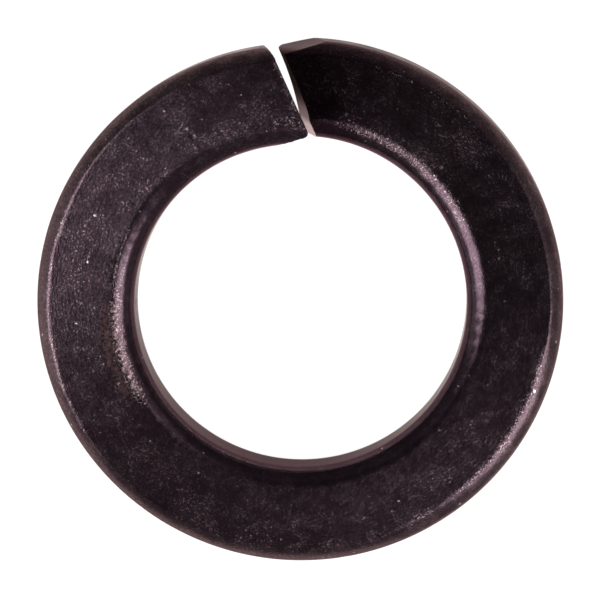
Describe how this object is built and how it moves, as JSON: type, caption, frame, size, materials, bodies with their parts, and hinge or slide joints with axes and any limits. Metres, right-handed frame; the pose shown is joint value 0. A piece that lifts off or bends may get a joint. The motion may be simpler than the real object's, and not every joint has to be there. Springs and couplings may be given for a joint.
{
  "type": "spring lock washer",
  "caption": "Split spring lock washer of black steel: a flat-sided helical ring with slanted ends that keeps a nut or bolt head from turning back.",
  "frame": {"origin": "on the axis of the bore, level with the lowest point of the low end", "axes": "+Z along the axis of the bore, with the coil rising clockwise seen from above; the split faces -Y, with the low end on its -X side"},
  "size_m": [0.0324, 0.0324, 0.0092],
  "materials": {
    "black_steel": "satin"
  },
  "bodies": {
    "root": {"spring_washer": "black_steel"}
  },
  "joints": []
}
